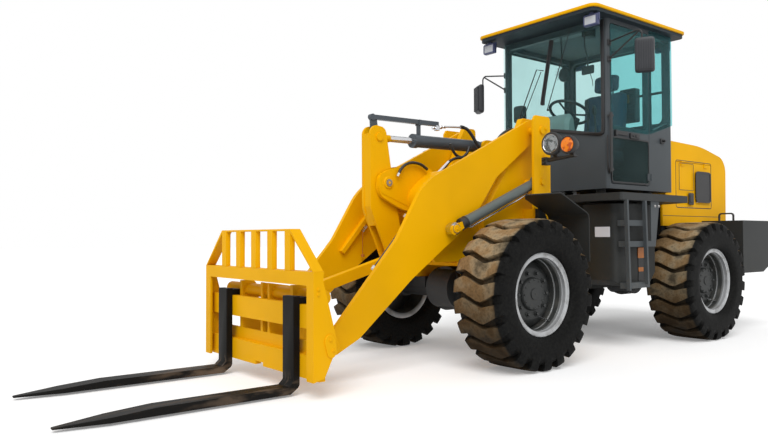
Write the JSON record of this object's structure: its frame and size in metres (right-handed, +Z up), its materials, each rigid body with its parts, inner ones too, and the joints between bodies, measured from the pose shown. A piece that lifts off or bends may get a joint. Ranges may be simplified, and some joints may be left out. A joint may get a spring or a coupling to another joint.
{
  "type": "articulated wheel loader with fork carriage",
  "caption": "Compact articulated wheel loader with a closed cab, Z-bar lift arms and a fork carriage with load guard, on large lugged tyres.",
  "frame": {"origin": "on the ground under the middle of the overall box", "axes": "+X forward along the forks, +Y to the machine's left, +Z up"},
  "size_m": [6.8, 2.0282, 2.847],
  "materials": {
    "axle_black": "black enamel on castings",
    "cab_plastic": "moulded plastic",
    "charcoal_steel": "satin enamel",
    "cylinder_grey": "satin enamel",
    "dark_grey_paint": "satin enamel",
    "fork_steel": "black forged steel, blade tops worn",
    "glass_tint": "lightly tinted safety glass",
    "lamp_glass": "lamp lenses in black housings",
    "pin_steel": "zinc-plated, greased",
    "rim_silver": "silver enamel with dark hub",
    "rod_chrome": "hard chrome",
    "seat_cloth": "woven cloth over foam",
    "tyre_rubber": "rubber with dry mud on the lugs",
    "yellow_paint": "gloss enamel, lightly worn"
  },
  "bodies": {
    "rear_frame": {"rear_chassis": "charcoal_steel", "counterweight": "charcoal_steel", "engine_block": "axle_black", "hood_shell": "yellow_paint", "rear_grille": "charcoal_steel", "deck": "dark_grey_paint", "ladder": "dark_grey_paint", "side_tanks": "charcoal_steel", "rear_axle": "axle_black", "cab_frame": "dark_grey_paint", "cab_pillars": "dark_grey_paint", "cab_roof": "yellow_paint", "roof_liner": "dark_grey_paint", "cab_glass": "glass_tint", "seat": "seat_cloth", "steering_console": "cab_plastic", "steering_wheel": "cab_plastic", "mirrors": "cab_plastic", "handrails": "axle_black", "work_lamps": "lamp_glass", "rear_lamps": "lamp_glass"},
    "front_frame": {"front_chassis": "yellow_paint", "front_axle": "axle_black", "front_fenders": "charcoal_steel", "headlamps": "lamp_glass"},
    "boom": {"boom": "yellow_paint"},
    "bellcrank_pin": {"bellcrank_pin": "pin_steel"},
    "bellcrank": {"bellcrank": "yellow_paint"},
    "link_pin": {"link_pin": "pin_steel"},
    "tilt_link": {"tilt_link": "yellow_paint"},
    "coupler_pins": {"coupler_pins": "pin_steel"},
    "carriage": {"coupler": "yellow_paint", "fork_carriage": "yellow_paint", "load_guard": "yellow_paint", "fork_left": "fork_steel", "fork_right": "fork_steel"},
    "lift_barrel_left": {"lift_barrel_left": "cylinder_grey"},
    "lift_barrel_right": {"lift_barrel_right": "cylinder_grey"},
    "lift_rod_left": {"lift_rod_left": "rod_chrome"},
    "lift_rod_right": {"lift_rod_right": "rod_chrome"},
    "tilt_barrel": {"tilt_barrel": "cylinder_grey"},
    "tilt_rod": {"tilt_rod": "rod_chrome", "tilt_indicator": "cylinder_grey"},
    "steer_barrel_left": {"steer_barrel_left": "cylinder_grey"},
    "steer_barrel_right": {"steer_barrel_right": "cylinder_grey"},
    "steer_rod_left": {"steer_rod_left": "rod_chrome"},
    "steer_rod_right": {"steer_rod_right": "rod_chrome"},
    "wheel_front_left": {"tyre_front_left": "tyre_rubber", "rim_front_left": "rim_silver"},
    "wheel_front_right": {"tyre_front_right": "tyre_rubber", "rim_front_right": "rim_silver"},
    "wheel_rear_left": {"tyre_rear_left": "tyre_rubber", "rim_rear_left": "rim_silver"},
    "wheel_rear_right": {"tyre_rear_right": "tyre_rubber", "rim_rear_right": "rim_silver"},
    "cab_door": {"cab_door": "dark_grey_paint", "door_glass": "glass_tint"},
    "hood_door_left": {"hood_door_left": "yellow_paint"},
    "hood_door_right": {"hood_door_right": "yellow_paint"}
  },
  "joints": [
    {"name": "articulation", "type": "hinge", "parent": "rear_frame", "child": "front_frame", "pos_m": [-0.84, 0, 0.7], "axis": [0, 0, 1], "range_deg": [-35, 35]},
    {"name": "wheel_front_left_spin", "type": "hinge", "parent": "front_frame", "child": "wheel_front_left", "pos_m": [0.35, 0.754, 0.53], "axis": [0, 1, 0], "continuous": true},
    {"name": "wheel_front_right_spin", "type": "hinge", "parent": "front_frame", "child": "wheel_front_right", "pos_m": [0.35, -0.754, 0.53], "axis": [0, 1, 0], "continuous": true},
    {"name": "wheel_rear_left_spin", "type": "hinge", "parent": "rear_frame", "child": "wheel_rear_left", "pos_m": [-2.03, 0.754, 0.53], "axis": [0, 1, 0], "continuous": true},
    {"name": "wheel_rear_right_spin", "type": "hinge", "parent": "rear_frame", "child": "wheel_rear_right", "pos_m": [-2.03, -0.754, 0.53], "axis": [0, 1, 0], "continuous": true},
    {"name": "boom_lift", "type": "hinge", "parent": "front_frame", "child": "boom", "pos_m": [-0.15, 0, 1.767], "axis": [0, -1, 0], "range_deg": [0, 70]},
    {"name": "tilt", "type": "hinge", "parent": "coupler_pins", "child": "carriage", "pos_m": [1.752, 0, 0.241], "axis": [0, -1, 0], "range_deg": [-40, 40]},
    {"name": "lift_barrel_left_swing", "type": "hinge", "parent": "front_frame", "child": "lift_barrel_left", "pos_m": [-0.15, 0.446, 1.362], "axis": [0, -1, 0], "range_deg": [0, 65.97]},
    {"name": "lift_rod_left_slide", "type": "slide", "parent": "lift_barrel_left", "child": "lift_rod_left", "axis": [0.9245, 0, -0.3813], "range_m": [0, 0.4573]},
    {"name": "lift_barrel_right_swing", "type": "hinge", "parent": "front_frame", "child": "lift_barrel_right", "pos_m": [-0.15, -0.446, 1.362], "axis": [0, -1, 0], "range_deg": [0, 65.97]},
    {"name": "lift_rod_right_slide", "type": "slide", "parent": "lift_barrel_right", "child": "lift_rod_right", "axis": [0.9245, 0, -0.3813], "range_m": [0, 0.4573]},
    {"name": "tilt_barrel_swing", "type": "hinge", "parent": "front_frame", "child": "tilt_barrel", "pos_m": [-0.008, 0, 1.675], "axis": [0, -1, 0], "range_deg": [0, 72.67]},
    {"name": "tilt_rod_slide", "type": "slide", "parent": "tilt_barrel", "child": "tilt_rod", "axis": [0.9999, 0, -0.0134], "range_m": [-0.1122, 0.1122]},
    {"name": "bellcrank_pin_turn", "type": "hinge", "parent": "boom", "child": "bellcrank_pin", "pos_m": [1.059, 0, 1.325], "axis": [0, -1, 0], "range_deg": [0, 31.1]},
    {"name": "bellcrank_turn", "type": "hinge", "parent": "bellcrank_pin", "child": "bellcrank", "pos_m": [1.059, 0, 1.325], "axis": [0, -1, 0], "range_deg": [-19.39, 19.39]},
    {"name": "link_pin_turn", "type": "hinge", "parent": "bellcrank", "child": "link_pin", "pos_m": [0.959, 0, 0.765], "axis": [0, -1, 0], "range_deg": [-44, 0]},
    {"name": "tilt_link_turn", "type": "hinge", "parent": "link_pin", "child": "tilt_link", "pos_m": [0.959, 0, 0.765], "axis": [0, -1, 0], "range_deg": [-18.71, 18.71]},
    {"name": "coupler_pins_turn", "type": "hinge", "parent": "boom", "child": "coupler_pins", "pos_m": [1.752, 0, 0.241], "axis": [0, -1, 0], "range_deg": [-55.52, 0]},
    {"name": "steer_barrel_left_swing", "type": "hinge", "parent": "rear_frame", "child": "steer_barrel_left", "pos_m": [-1.54, 0.262, 0.69], "axis": [0, 0, 1], "range_deg": [-1.38, 1.38]},
    {"name": "steer_rod_left_slide", "type": "slide", "parent": "steer_barrel_left", "child": "steer_rod_left", "axis": [0.9997, -0.0227, 0], "range_m": [-0.1426, 0.1426]},
    {"name": "steer_barrel_right_swing", "type": "hinge", "parent": "rear_frame", "child": "steer_barrel_right", "pos_m": [-1.54, -0.262, 0.69], "axis": [0, 0, 1], "range_deg": [-1.38, 1.38]},
    {"name": "steer_rod_right_slide", "type": "slide", "parent": "steer_barrel_right", "child": "steer_rod_right", "axis": [0.9997, 0.0227, 0], "range_m": [-0.1426, 0.1426]},
    {"name": "cab_door_open", "type": "hinge", "parent": "rear_frame", "child": "cab_door", "pos_m": [-1.557, 0.594, 2], "axis": [0, 0, 1], "range_deg": [0, 150]},
    {"name": "hood_door_left_open", "type": "hinge", "parent": "rear_frame", "child": "hood_door_left", "pos_m": [-2.475, 0.508, 1.654], "axis": [1, 0, 0], "range_deg": [0, 75]},
    {"name": "hood_door_right_open", "type": "hinge", "parent": "rear_frame", "child": "hood_door_right", "pos_m": [-2.475, -0.508, 1.654], "axis": [-1, 0, 0], "range_deg": [0, 75]}
  ],
  "couplings": [
    {"joint": "lift_barrel_left_swing", "follows": "boom_lift", "ratio": 0.94211},
    {"joint": "lift_rod_left_slide", "follows": "boom_lift", "m_per_rad": 0.37407},
    {"joint": "lift_barrel_right_swing", "follows": "boom_lift", "ratio": 0.94211},
    {"joint": "lift_rod_right_slide", "follows": "boom_lift", "m_per_rad": 0.37407},
    {"joint": "tilt_barrel_swing", "follows": "boom_lift", "ratio": 1.0378},
    {"joint": "tilt_rod_slide", "follows": "tilt", "m_per_rad": 0.16043},
    {"joint": "bellcrank_pin_turn", "follows": "boom_lift", "ratio": 0.44395},
    {"joint": "bellcrank_turn", "follows": "tilt", "ratio": -0.48401},
    {"joint": "link_pin_turn", "follows": "boom_lift", "ratio": -0.62822},
    {"joint": "tilt_link_turn", "follows": "tilt", "ratio": 0.4672},
    {"joint": "coupler_pins_turn", "follows": "boom_lift", "ratio": -0.79274},
    {"joint": "steer_barrel_left_swing", "follows": "articulation", "ratio": 0.038833},
    {"joint": "steer_rod_left_slide", "follows": "articulation", "m_per_rad": -0.23307},
    {"joint": "steer_barrel_right_swing", "follows": "articulation", "ratio": 0.038833},
    {"joint": "steer_rod_right_slide", "follows": "articulation", "m_per_rad": 0.23307}
  ]
}
